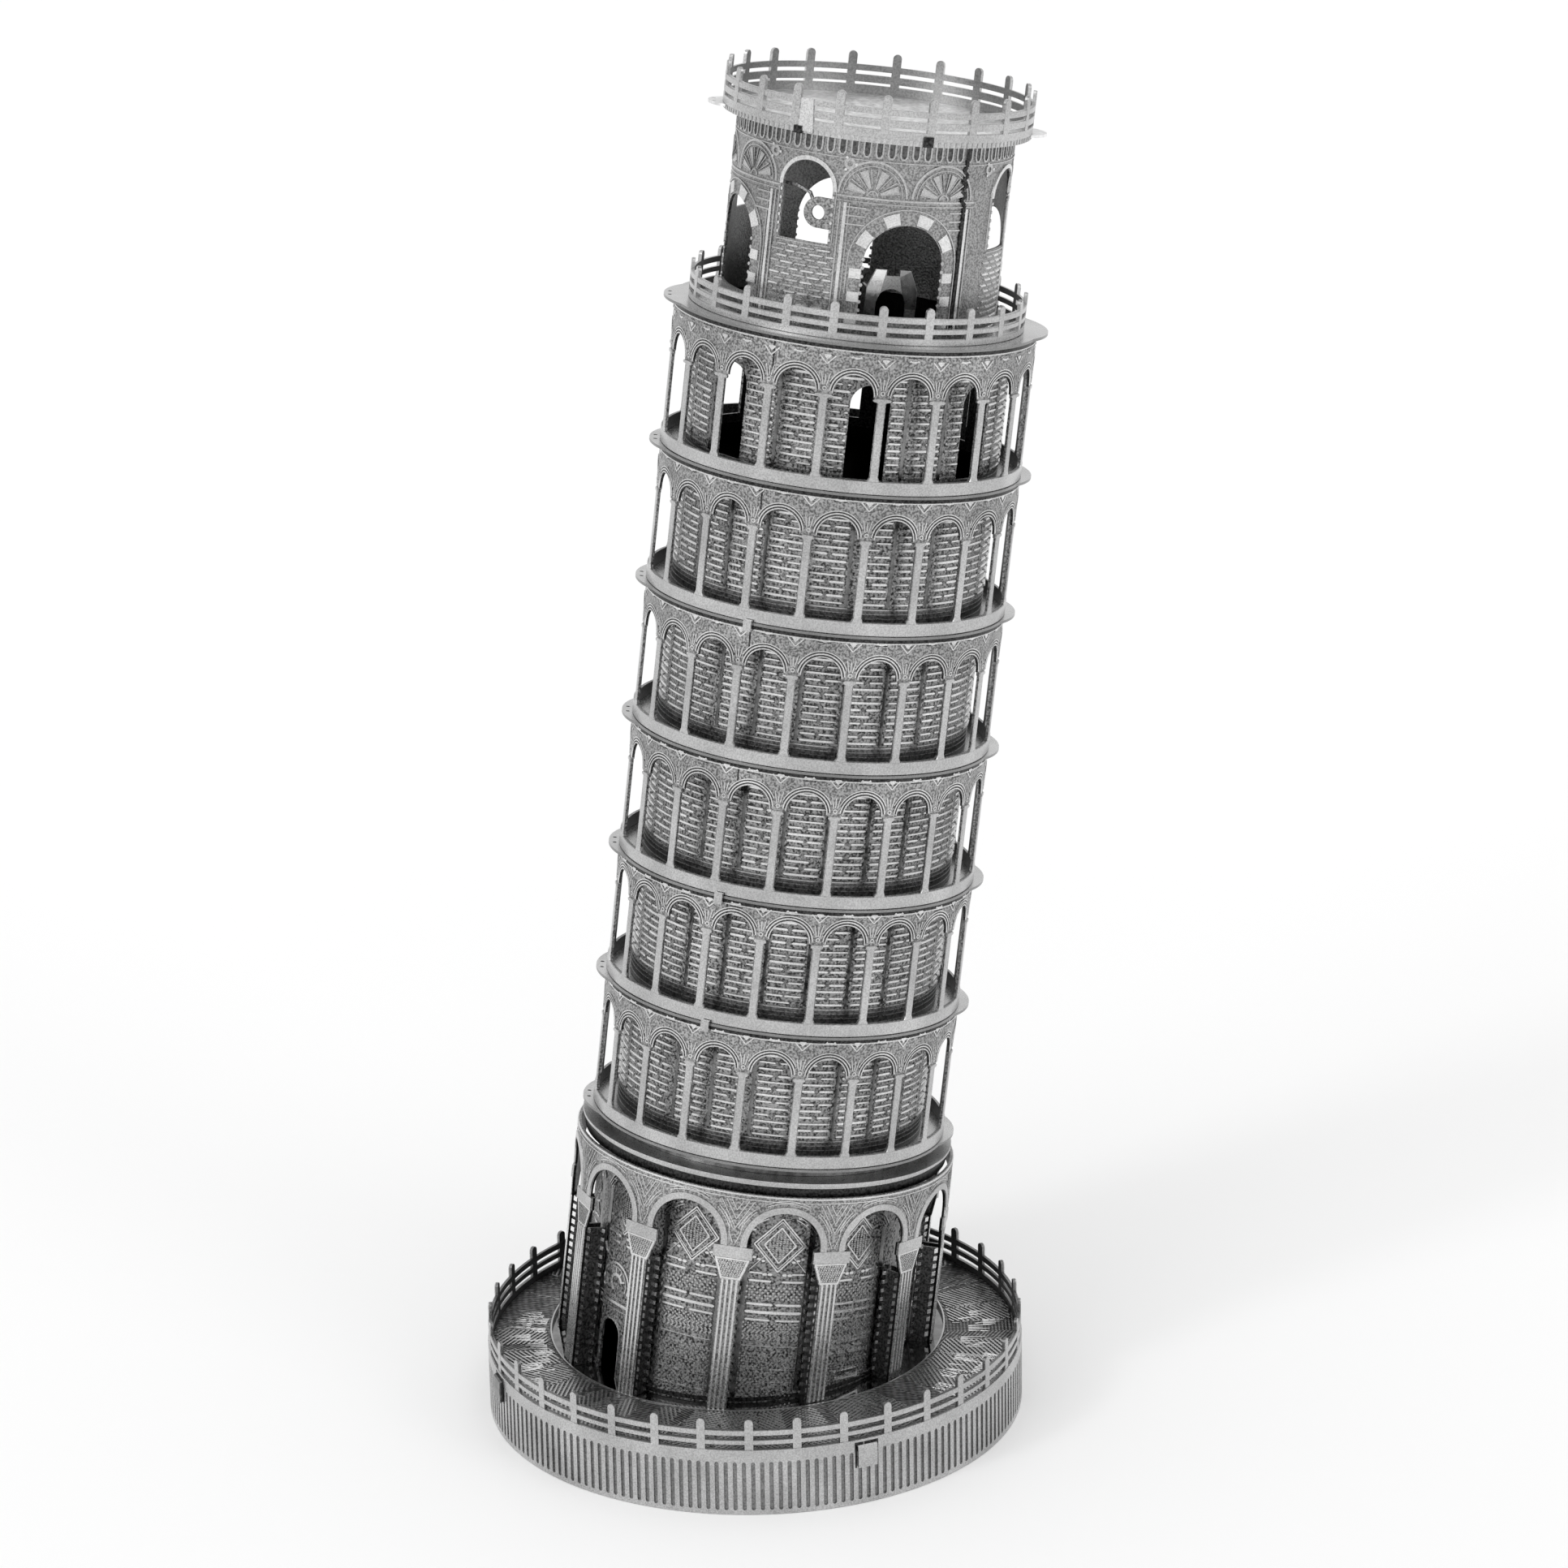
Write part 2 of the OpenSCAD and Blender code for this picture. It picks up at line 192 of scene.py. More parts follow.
# Each: darkest and lightest tone, least and most roughness, the grain's scale, and its bump in mm
SMOOTH = steel("smooth_steel", 0.41, 0.56, 0.26, 0.40, 8200, 0.006)
# Painted shade on the deck floors inside the walls, and on the plates' narrow edges.
DECK = steel("deck_steel", 0.50, 0.62, 0.24, 0.34, 9000, 0.004, shaded_floor_r=11.6)
BELFRY_DECK = steel("belfry_deck_steel", 0.50, 0.62, 0.22, 0.34, 9000, 0.004, shaded_floor_r=10.05)
# Painted light: the top plate is a much brighter copy of the deck steel.
LIT_TOP_PLATE = steel("lit_top_plate_steel", 0.72, 0.92, 0.30, 0.50, 2600, 0.02)
# Where inner is given, faces that look inwards get painted shade.
TOP_RAIL = steel("top_rail_steel", 0.46, 0.62, 0.28, 0.42, 7000, 0.01, inner=0.6)
RAIL = steel("rail_steel", 0.46, 0.58, 0.30, 0.42, 9000, 0.004, inner=0.2)
ETCHED = steel("etched_steel", 0.04, 0.42, 0.34, 0.60, 5600, 0.05, inner=0.15)
FACING = steel("arcade_steel", 0.13, 0.46, 0.32, 0.55, 6400, 0.035, inner=0.25)
# Painted shade on the ground columns' flanges that look sideways.
FLANKED = steel("ground_arcade_steel", 0.13, 0.46, 0.30, 0.50, 6400, 0.03, inner=0.25, flank_shade=0.3)
PIT = steel("pit_steel", 0.07, 0.17, 0.34, 0.50, 5200, 0.02)
RAISED = steel("raised_steel", 0.58, 0.76, 0.24, 0.36, 7600, 0.006)
BRIGHT = steel("bright_steel", 0.80, 0.92, 0.14, 0.24, 7000, 0.003)
DARK = steel("dark_steel", 0.02, 0.07, 0.30, 0.50, 5200, 0.02)
SHADE = steel("shaded_steel", 0.13, 0.24, 0.20, 0.32, 1800, 0.004)
BELFRY = steel("belfry_wall_steel", 0.17, 0.42, 0.32, 0.52, 6800, 0.03, inner=0.9)
# Painted shade: the plinth's grooves are darker than its ribs.
GROOVE_SHADE = steel("groove_shade_steel", 0.15, 0.27, 0.34, 0.50, 7000, 0.01, inner=0.35)
# Painted shade along the foot of each gallery wall.
GALLERY_FOOT_SHADE = steel("gallery_foot_shade_steel", 0.14, 0.28, 0.30, 0.45, 5200, 0.015)
MIRROR = steel("mirror_steel", 0.17, 0.24, 0.06, 0.14, 900, 0.002)


PAVING_SECTORS = 34


def paving_steel():
    """Paving: narrow sectors round the centre, each with its own hatch and its own gloss."""
    kit = Steel("paving_steel")
    split = kit.nodes.new("ShaderNodeSeparateXYZ")
    kit.links.new(kit.coords.outputs["Object"], split.inputs[0])
    x, y = split.outputs["X"], split.outputs["Y"]
    angle = kit.math("ARCTAN2", y, x)
    sector = kit.math("FLOOR", kit.math("MULTIPLY", angle, PAVING_SECTORS / (2 * math.pi)))
    turn = kit.math("MULTIPLY", kit.math("SINE", kit.math("MULTIPLY", sector, 12.9)), 1.5)
    cosine, sine = kit.math("COSINE", turn), kit.math("SINE", turn)
    across = kit.math("ADD", kit.math("MULTIPLY", x, cosine), kit.math("MULTIPLY", y, sine))
    along = kit.math("SUBTRACT", kit.math("MULTIPLY", y, cosine), kit.math("MULTIPLY", x, sine))
    hatch = kit.math("SINE", kit.math("MULTIPLY", across, 2 * math.pi / (0.27 * MM)))
    cross = kit.math("SINE", kit.math("MULTIPLY", along, 2 * math.pi / (0.5 * MM)))
    weave = kit.math("ADD", kit.math("MULTIPLY", hatch, 0.4), kit.math("MULTIPLY", cross, 0.12))
    level = kit.math("ADD", weave, 0.5)
    fine = kit.noise(2600)
    own = kit.math("FRACT", kit.math("MULTIPLY", kit.math("SINE", kit.math("MULTIPLY", sector, 78.2)), 43.7))
    gloss = kit.math("MULTIPLY_ADD", own, 0.7, 0.6)
    tone = kit.math("MULTIPLY", kit.math("MULTIPLY", level, kit.math("MULTIPLY", fine, 1.9)), gloss)
    tone = kit.ramp(tone, [(0.08, 0.02), (0.45, 0.11), (0.9, 0.36)])
    rough = kit.math("MULTIPLY_ADD", own, 0.25, 0.22)
    return kit.finish(tone, rough, level, 0.035)


PAVING = paving_steel()


# ---------------------------------------------------------------- relief on round sheets
class Relief:
    """Raised solids on a round sheet. Their outlines are (s, h): arc length from an azimuth, and height."""

    def __init__(self, name, radius, place=LEANING, skin=SKIN):
        self.name = name
        self.radius = radius
        self.place = place
        self.low = radius - SINK
        self.high = radius + skin
        self.verts = []
        self.faces = []

    def vertex(self, az, s, h, r):
        a = math.radians(az) + s / self.radius
        self.verts.append(self.place @ Vector((r * math.sin(a), -r * math.cos(a), h)) * MM)
        return len(self.verts) - 1

    def ribbon(self, az, left, right, closed=False, bevel=0.0, high=None):
        """A closed solid between two paths of as many points."""
        high = self.high if high is None else high
        rings = []
        for a, b in zip(left, right):
            span = math.hypot(b[0] - a[0], b[1] - a[1]) or 1e-9
            k = min(bevel / span, 0.45)
            top_a = (a[0] + (b[0] - a[0]) * k, a[1] + (b[1] - a[1]) * k)
            top_b = (b[0] - (b[0] - a[0]) * k, b[1] - (b[1] - a[1]) * k)
            rings.append(
                (
                    self.vertex(az, *a, self.low),
                    self.vertex(az, *top_a, high),
                    self.vertex(az, *top_b, high),
                    self.vertex(az, *b, self.low),
                )
            )
        pairs = list(zip(rings, rings[1:]))
        if closed:
            pairs.append((rings[-1], rings[0]))
        for one, two in pairs:
            for i in range(4):
                j = (i + 1) % 4
                self.faces.append((one[i], one[j], two[j], two[i]))
        if not closed:
            self.faces.append(rings[0][::-1])
            self.faces.append(rings[-1])

    def plate(self, az, outline, bevel=0.0, high=None):
        """A prism on a convex outline."""
        high = self.high if high is None else high
        cs = sum(p[0] for p in outline) / len(outline)
        ch = sum(p[1] for p in outline) / len(outline)
        foot, top = [], []
        for s, h in outline:
            reach = math.hypot(s - cs, h - ch) or 1e-9
            k = max(0.2, 1 - bevel / reach)
            foot.append(self.vertex(az, s, h, self.low))
            top.append(self.vertex(az, cs + (s - cs) * k, ch + (h - ch) * k, high))
        n = len(outline)
        self.faces.append(tuple(top))
        self.faces.append(tuple(reversed(foot)))
        for i in range(n):
            j = (i + 1) % n
            self.faces.append((foot[i], foot[j], top[j], top[i]))

    def ring(self, h0, h1, bevel=0.0, high=None, steps=144):
        """A band all the way round."""
        around = [2 * math.pi * self.radius * i / steps for i in range(steps)]
        self.ribbon(0, [(s, h0) for s in around], [(s, h1) for s in around], True, bevel, high)

    def bar(self, az, s0, s1, h, t, bevel=0.04, high=None):
        """A level bar with narrowed ends."""
        end = min(0.4 * t, 0.3 * abs(s1 - s0))
        steps = max(1, math.ceil((s1 - s0) / 1.2))
        middle = [s0 + end + (s1 - s0 - 2 * end) * i / steps for i in range(steps + 1)]
        stations = [(s0, 0.25 * t)] + [(s, 0.5 * t) for s in middle] + [(s1, 0.25 * t)]
        self.ribbon(
            az, [(s, h - k) for s, k in stations], [(s, h + k) for s, k in stations], False, bevel, high
        )

    def post(self, az, s, h0, h1, w, bevel=0.0, high=None):
        """An upright bar."""
        self.ribbon(
            az, [(s - w / 2, h0), (s - w / 2, h1)], [(s + w / 2, h0), (s + w / 2, h1)], False, bevel, high
        )

    def disc(self, az, s, h, r, steps=8, high=None, stretch=1.0):
        angles = [2 * math.pi * i / steps for i in range(steps)]
        self.plate(az, [(s + stretch * r * math.cos(a), h + r * math.sin(a)) for a in angles], 0.0, high)

    def arc(self, az, s, h, r0, r1, start=0, stop=180, steps=16, bevel=0.0, high=None):
        """A curved ribbon between two radii round (s, h)."""
        angles = [math.radians(start + (stop - start) * i / steps) for i in range(steps + 1)]
        whole = stop - start >= 360
        if whole:
            angles = angles[:-1]
        self.ribbon(
            az,
            [(s + r0 * math.cos(a), h + r0 * math.sin(a)) for a in angles],
            [(s + r1 * math.cos(a), h + r1 * math.sin(a)) for a in angles],
            whole,
            bevel,
            high,
        )

    def line(self, az, points, w, high=None):
        """A thin raised line of width w along points."""
        for (s0, h0), (s1, h1) in zip(points, points[1:]):
            length = math.hypot(s1 - s0, h1 - h0)
            if length < 1e-6:
                continue
            ns, nh = -(h1 - h0) / length * w / 2, (s1 - s0) / length * w / 2
            self.ribbon(
                az,
                [(s0 - ns, h0 - nh), (s1 - ns, h1 - nh)],
                [(s0 + ns, h0 + nh), (s1 + ns, h1 + nh)],
                False,
                0,
                high,
            )

    def hatch(self, az, s0, s1, h0, h1, pitch, slant, w):
        """Short slanted strokes that fill a band; slant is the shift of a stroke's top."""
        s = s0 + max(0, -slant)
        while s + max(0, slant) < s1:
            self.line(az, [(s, h0), (s + slant, h1)], w)
            s += pitch

    def dots(self, az, s0, s1, h, pitch, r):
        s = s0
        while s < s1:
            self.plate(az, [(s - r, h), (s, h - r), (s + r, h), (s, h + r)])
            s += pitch

    def build(self, material, slot="bright_steel"):
        piece = place_mesh(self.name, self.verts, self.faces, material)
        for polygon in piece.data.polygons:
            polygon.use_smooth = True
        piece.data.set_sharp_from_angle(angle=math.radians(24))
        return piece


def four_sided(stations):
    """Faces of a closed strip that has four corners at each station."""
    faces = []
    for b in range(0, 4 * (stations - 1), 4):
        faces += [(b, b + 1, b + 5, b + 4), (b + 2, b + 6, b + 7, b + 3), (b, b + 4, b + 6, b + 2),
                  (b + 1, b + 3, b + 7, b + 5)]
    b = 4 * (stations - 1)
    return faces + [(0, 2, 3, 1), (b, b + 1, b + 3, b + 2)]


def place_mesh(name, verts, faces, material):
    """Makes a mesh piece whose faces look outwards."""
    mesh = bpy.data.meshes.new(name)
    mesh.from_pydata([tuple(v) for v in verts], [], faces)
    work = bmesh.new()
    work.from_mesh(mesh)
    bmesh.ops.recalc_face_normals(work, faces=work.faces)
    work.to_mesh(mesh)
    work.free()
    mesh.materials.append(material)
    piece = bpy.data.objects.new(name, mesh)
    bpy.context.scene.collection.objects.link(piece)
    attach(piece, "root")
    return piece


def upright_outline(w, h0, h1, steps=5):
    """A bar's outline with a half-round top."""
    r = w / 2
    angles = [math.pi * i / steps for i in range(steps + 1)]
    top = [(r * math.cos(a), h1 - r + r * math.sin(a)) for a in angles]
    return [(r, h0)] + top + [(-r, h0)]


def railing_faces(name, radius, place, rings, post_low, post_top, posts, turn, w):
    """Level rings and round-topped posts on a railing's outside; w is a post's width."""
    faces = Relief(name, radius, place)
    for low, high in rings:
        faces.ring(low, high, 0.02)
    post = upright_outline(w, post_low, post_top)
    for i in range(posts):
        faces.plate(turn + i * 360 / posts, post, 0.0, radius + SKIN + 0.01)
    faces.build(SMOOTH)


# ---------------------------------------------------------------- plinth
def plinth():
    posts = 36
    railing_faces("plinth_railing_faces", PLINTH_R, UPRIGHT,
                  [(5.75, 6.11), (6.48, 6.9)], 5.2, 7.82, posts, -1.7, 0.63)
    band = Relief("plinth_flutes", PLINTH_R, UPRIGHT, 0.12)
    band.ring(0.02, 0.42, 0.02)
    band.ring(4.33, 5.34, 0.02)
    count = 191
    pitch = 2 * math.pi * PLINTH_R / count
    groove = 0.31
    r = groove / 2
    for i in range(count):
        az = i * 360 / count
        half = (pitch - groove) / 2
        profile = []
        for end, sign in ((0.55, -1), (4.2, 1)):
            degrees = (90, 60, 30, 0) if sign < 0 else (0, 30, 60, 90)
            angles = [math.radians(t) for t in degrees]
            profile += [(half + r * (1 - math.cos(t)), end + sign * r * math.sin(t)) for t in angles]
        profile = [(half + r, 0.4)] + profile + [(half + r, 4.35)]
        band.ribbon(az, [(-s, h) for s, h in profile], profile)
    band.build(SMOOTH)


FRONT_TAB_AZ = 23.2
LEFT_TAB_AZ = -71.4


def plinth_tab(az, material, name):
    """A smooth cover on a locking tab that comes out of the strip and folds down."""
    a = math.radians(az)
    outer = [(20.4, 4.93), (20.74, 4.93), (20.86, 4.82), (20.9, 4.0), (20.86, 3.12)]
    inner = [(20.4, 4.85), (20.7, 4.85), (20.76, 4.75), (20.76, 4.0), (20.76, 3.15)]
    verts = []
    for pair in zip(outer, inner):
        for r, z in pair:
            for s in (-0.78, 0.78):
                x = r * math.sin(a) + s * math.cos(a)
                y = -r * math.cos(a) + s * math.sin(a)
                verts.append(Vector((x, y, z)) * MM)
    place_mesh(name, verts, four_sided(len(outer)), material)


def tab_slots():
    """Painted shade in the slots of the strip round its two locking tabs."""
    slots = Relief("tab_slots", PLINTH_R + 0.12, UPRIGHT, 0.02)
    for az in (FRONT_TAB_AZ, LEFT_TAB_AZ):
        slots.post(az, 0, 4.4, 5.12, 1.9)
        for side in (-1, 1):
            slots.post(az, side * 0.86, 3.05, 4.5, 0.14)
    slots.build(DARK, "dark_steel")


PLAZA_TOP = 4.85
BASIN_CENTRE = Vector((-0.55, 2.15))
BASIN_R = 15.35


class FlatRelief:
    """Thin raised strips lying on the paving."""

    def __init__(self, name):
        self.name = name
        self.verts = []
        self.faces = []

    def strip(self, p, q, w0, w1=None, rise=0.05):
        """A strip from p to q whose width runs from w0 to w1."""
        w1 = w0 if w1 is None else w1
        if min((p - BASIN_CENTRE).length, (q - BASIN_CENTRE).length) < BASIN_R + 0.15:
            return
        if max(p.length, q.length) > PLINTH_R - 0.35:
            return
        along = (q - p).normalized()
        side = Vector((-along.y, along.x)) / 2
        base = len(self.verts)
        for z in (PLAZA_TOP - SINK, PLAZA_TOP + rise):
            for corner in (p - side * w0, q - side * w1, q + side * w1, p + side * w0):
                self.verts.append(Vector((corner.x, corner.y, z)) * MM)
        self.faces.extend([
            (base + 3, base + 2, base + 1, base), (base + 4, base + 5, base + 6, base + 7),
            (base, base + 1, base + 5, base + 4), (base + 1, base + 2, base + 6, base + 5),
            (base + 2, base + 3, base + 7, base + 6), (base + 3, base, base + 4, base + 7),
        ])

    def build(self, material):
        place_mesh(self.name, self.verts, self.faces, material)


def outward(az):
    a = math.radians(az)
    return Vector((math.sin(a), -math.cos(a)))


def in_basin(point):
    return (point - BASIN_CENTRE).length < BASIN_R + 0.2


def past_edge(point):
    return point.length > PLINTH_R - 0.4


def trimmed(p, q, lean):
    """The ends of a stroke that runs along lean, moved inwards until both lie on the paving."""
    step = lean * 0.2
    shortest = 0.5
    for off_paving, at_start in ((in_basin, True), (in_basin, False), (past_edge, False), (past_edge, True)):
        while off_paving(p if at_start else q) and (q - p).length > shortest:
            if at_start:
                p = p + step
            else:
                q = q - step
    return p, q


def plaza():
    """Radiating slabs: fine parallel strokes in each sector, ragged joints, and painted glints on thin
    bright strips.
    """
    strokes = FlatRelief("paving_strokes")
    joints = FlatRelief("paving_joints")
    glints = FlatRelief("paving_glints")
    for i in range(PAVING_SECTORS):
        az = i * 360 / PAVING_SECTORS + random.uniform(-1.2, 1.2)
        way = outward(az)
        side = Vector((-way.y, way.x))
        slant = random.choice((-1, 1)) * random.uniform(0.3, 0.6 + 1.3 * abs(way.y))
        lean = (side + way * slant).normalized()
        plain = random.random() < 0.2
        stretch = math.hypot(1, slant)
        for n in range(0 if plain else 60):
            r = 8 + n * (0.33 * stretch)
            p = way * r + side * 0.2
            q = p + lean * stretch * (2 * math.pi * r / PAVING_SECTORS - 0.55)
            strokes.strip(*trimmed(p, q, lean), 0.15)
        r = 15.4
        while r < 19.8:
            step = random.uniform(0.4, 1.1)
            off = random.uniform(-0.1, 0.1)
            end = way * (r + step * 0.7) + side * (off + random.uniform(-0.08, 0.08))
            joints.strip(way * r + side * off, end, 0.12)
            r += step
    # Painted glints: small bright strips in four groups, and a row of five more further on.
    for centre, spread in ((-76, 16), (84, 16), (62, 10), (-98, 8)):
        for n in range(12):
            az = centre + random.uniform(-spread, spread)
            r = random.uniform(15.6, 18.2)
            way = outward(az)
            for m in range(random.choice((1, 3, 4))):
                p = way * r + outward(az + 90) * m * 0.28
                way_out = outward(az + random.uniform(-9, 9))
                glints.strip(p, p + way_out * random.uniform(0.6, 1.9), 0.16, 0.05, 0.07)
    for m in range(5):
        az = -26 + m * 0.9
        glints.strip(outward(az) * 17.2, outward(az) * 19.0, 0.2, 0.14, 0.07)
    strokes.build(SMOOTH)
    joints.build(SMOOTH)
    glints.build(BRIGHT)


# ---------------------------------------------------------------- ground storey
GROUND_BAYS = 12
GROUND_PITCH = 360 / GROUND_BAYS
GROUND_TURN = -8.5
GROUND_SPRING = 12.1
GROUND_ARCH = 2.77


def ground_floor_height(az, r):
    """Height along the tower's axis at which the basin floor lies, at an azimuth and radius."""
    a = math.radians(az)
    lifted = LEANING @ Vector((r * math.sin(a), -r * math.cos(a), 0))
    return (4.6 - lifted.z) / AXIS.z


PANEL = 2.15
FIRST_PANEL_AZ = -53.5
DOOR_AZ = -56.6
DOOR_HALF_TURN = 6.5
LUNETTE = (-55.9, 5.5, 1.7)
TAB_AZ = 36
TAB_H = 1.1


def diamond(wall, fine, az):
    """Nested lozenges round rows of fine dots, in the top of a blind bay, with leaves at their sides."""
    h = 11.7
    for half_s, half_h, w in ((1.96, 2.12, 0.1), (1.72, 1.88, 0.06), (1.2, 1.4, 0.1)):
        wall.line(az, [(0, h + half_h), (half_s, h), (0, h - half_h), (-half_s, h), (0, h + half_h)], w)
    for n in range(-7, 8):
        dh = n * 0.17
        half = 1.05 * (1 - abs(dh) / 1.28)
        if half > 0.1:
            fine.dots(az, -half + 0.12 * (n % 2), half, h + dh, 0.26, 0.07)
    for r in (2.75, 3.0, 3.22):
        for start in (30, 112):
            wall.arc(az, 0, 11.2, r, r + 0.06, start, start + 38, 8)
    for side in (-1, 1):
        for s, dh in ((1.9, 1.7), (2.05, 1.1), (1.3, 2.2), (0.75, 2.55)):
            wall.disc(az, side * s, h + dh, 0.09, 6, None, 1.5)
        wall.line(az, [(side * 2.15, 9.6), (side * 1.0, 10.9)], 0.05)


def courses(wall, fine, az, is_door, small_bricks):
    """Level courses below the lozenge: bars, dotted rows and slanted strokes down to the foot."""
    p = PANEL
    foot = ground_floor_height(az, GROUND_WALL_R) + 0.45
    for side in (-1, 1):
        for s in (1.15, 1.5, 1.85):
            wall.disc(az, side * s, 10.65 - 0.35 * (1.85 - s), 0.1, 6, None, 1.6)
        for s in (0.55, 0.95):
            wall.disc(az, side * s, 9.35, 0.12, 6, None, 1.6)
        wall.bar(az, side * 1.6 - 0.5, side * 1.6 + 0.5, 9.42, 0.2)
        wall.bar(az, side * 1.25 - 0.85, side * 1.25 + 0.85, 8.8, 0.24)
    if is_door:
        return
    for n in range(5):
        fine.dots(az, -p + 0.2 * (n % 2), p, 8.3 - n * 0.22, 0.4, 0.1)
    for side in (-1, 1):
        wall.bar(az, side * 1.1 - 1.0, side * 1.1 + 1.0, 6.94, 0.26)
        wall.bar(az, side * 1.15 - 0.95, side * 1.15 + 0.95, 5.69, 0.24)
    wall.bar(az, -p, p, 6.3, 0.3)
    wall.bar(az, -p, -p + 1.1, 6.0, 0.1)
    for n in range(4):
        fine.dots(az, -p + 0.18 * (n % 2), p, 5.4 - n * 0.18, 0.36, 0.09)
    for h in (4.6, 4.3, 4.05):
        fine.hatch(az, -p, p, h, h + 0.21, 0.34, 0.18 if h != 4.3 else -0.18, 0.12)
    if small_bricks:
        for row in range(3):
            s = -p + 0.5 * (row % 2)
            while s < p - 0.8:
                wall.bar(az, s, s + 0.8, 3.85 - row * 0.46, 0.25)
                s += 1.05
    else:
        wall.bar(az, -p, -0.2, 3.92, 0.09)
        wall.bar(az, 0.3, p, 3.86, 0.09)
        wall.bar(az, -p, p, 3.58, 0.12)
    h = 2.9 if not small_bricks else 2.3
    row = 0
    while h > foot:
        if min(abs(h - 1.74), abs(h - 0.71), abs(h + 0.5)) < 0.1:
            wall.bar(az, -p, p, h, 0.07)
        else:
            fine.dots(az, -p + 0.17 * (row % 2), p, h, 0.34, 0.08)
        h -= 0.2
        row += 1


def upright_path(s, low, high, steps=6):
    """Points up a straight line at s, in equal steps."""
    return [(s, low + (high - low) * n / steps) for n in range(steps + 1)]


def ground_wall():
    wall = Relief("ground_wall_relief", GROUND_WALL_R, LEANING, 0.09)
    fine = Relief("ground_wall_dots", GROUND_WALL_R, LEANING, 0.07)
    shade = Relief("ground_wall_strips", GROUND_WALL_R, LEANING, 0.03)
    pits = Relief("ground_wall_pits", GROUND_WALL_R, LEANING, 0.02)
    for i in range(GROUND_BAYS):
        az = FIRST_PANEL_AZ + i * GROUND_PITCH
        is_door = i == 0
        diamond(wall, fine, az)
        courses(wall, fine, az, is_door, i == 3)
        if not is_door:
            low = ground_floor_height(az, GROUND_WALL_R) + 0.6
            pits.ribbon(az, upright_path(-PANEL, low, 8.5), upright_path(PANEL, low, 8.5))
        half_strip = (GROUND_WALL_R * math.radians(GROUND_PITCH) - 2 * PANEL - 0.1) / 2
        side_az = az + GROUND_PITCH / 2
        low = ground_floor_height(side_az, GROUND_WALL_R) + 0.5
        shade.ribbon(side_az, upright_path(-half_strip, low, 15.6), upright_path(half_strip, low, 15.6))
    ground_wall_foot()
    pits.build(PIT, "etched_steel")
    shade.build(SHADE, "etched_steel")
    ground_door(wall)
    ground_wall_tab()
    fine.build(SMOOTH, "etched_steel")
    wall.build(RAISED, "etched_steel")


def ground_wall_foot():
    """Painted shade along the wall's foot, which stops at both sides of the door."""
    wall_foot_shade = Relief("ground_wall_foot", GROUND_WALL_R, LEANING, 0.05)
    steps = 120
    lower, upper = [], []
    for i in range(steps):
        az = i * 360 / steps
        if abs((az - DOOR_AZ + 180) % 360 - 180) < DOOR_HALF_TURN:
            continue
        h = ground_floor_height(az, GROUND_WALL_R)
        s = GROUND_WALL_R * math.radians(az)
        lower.append((s, h + 0.05))
        upper.append((s, h + 0.38))
    door_gap = GROUND_WALL_R * math.radians(5)
    turn = next(i for i in range(len(lower) - 1) if lower[i + 1][0] - lower[i][0] > door_gap)
    full = 2 * math.pi * GROUND_WALL_R
    order = [(i, 0.0) for i in range(turn + 1, len(lower))] + [(i, full) for i in range(turn + 1)]
    wall_foot_shade.ribbon(0, [(lower[i][0] + t, lower[i][1]) for i, t in order],
                    [(upper[i][0] + t, upper[i][1]) for i, t in order])
    wall_foot_shade.build(DARK, "dark_steel")


def ground_door(wall):
    """The lunette over the door, the level lines below it, and the door's frame."""
    az, h, r = LUNETTE
    wall.arc(az, 0, h, r - 0.16, r, -20, 200, 22)
    wall.arc(az, 0, h, r - 0.42, r - 0.36, -20, 200, 20)
    wall.arc(az, 0.1, h + 0.1, 0.5, 0.75, 10, 250, 14)
    for t in range(20, 161, 35):
        a = math.radians(t)
        wall.line(az, [(0.85 * math.cos(a), h + 0.85 * math.sin(a)),
                       (1.2 * math.cos(a), h + 1.2 * math.sin(a))], 0.12)
    wall.line(az, [(-r - 0.5, 8.1), (-r + 0.2, 7.4)], 0.12)
    for level, t in ((3.98, 0.3), (3.48, 0.12), (4.36, 0.1)):
        wall.bar(az, -2.1, 1.85, level, t)
    for side in (-1, 1):
        wall.line(DOOR_AZ, [(side * 1.3, -2.0), (side * 1.3, 1.35)], 0.1)
    wall.arc(DOOR_AZ, 0, 1.35, 1.25, 1.35, 0, 180, 14)


def ground_wall_tab():
    """A locking tab bent flat against the wall's foot."""
    tab = Relief("ground_wall_tab", GROUND_WALL_R, LEANING, 0.16)
    tab.line(TAB_AZ, [(-1.1, TAB_H - 0.28), (1.1, TAB_H - 0.2)], 0.16)
    tab.line(TAB_AZ, [(-1.0, TAB_H + 0.2), (1.1, TAB_H + 0.32)], 0.22)
    for s in (-1.05, 1.1):
        tab.line(TAB_AZ, [(s, TAB_H - 0.26), (s, TAB_H + 0.3)], 0.16)
    crease = [(-0.7, 0.02), (-0.1, 0.06), (0.2, -0.02), (0.7, 0.08)]
    tab.line(TAB_AZ, [(s, TAB_H + h) for s, h in crease], 0.1)
    tab.build(BRIGHT, "bright_steel")


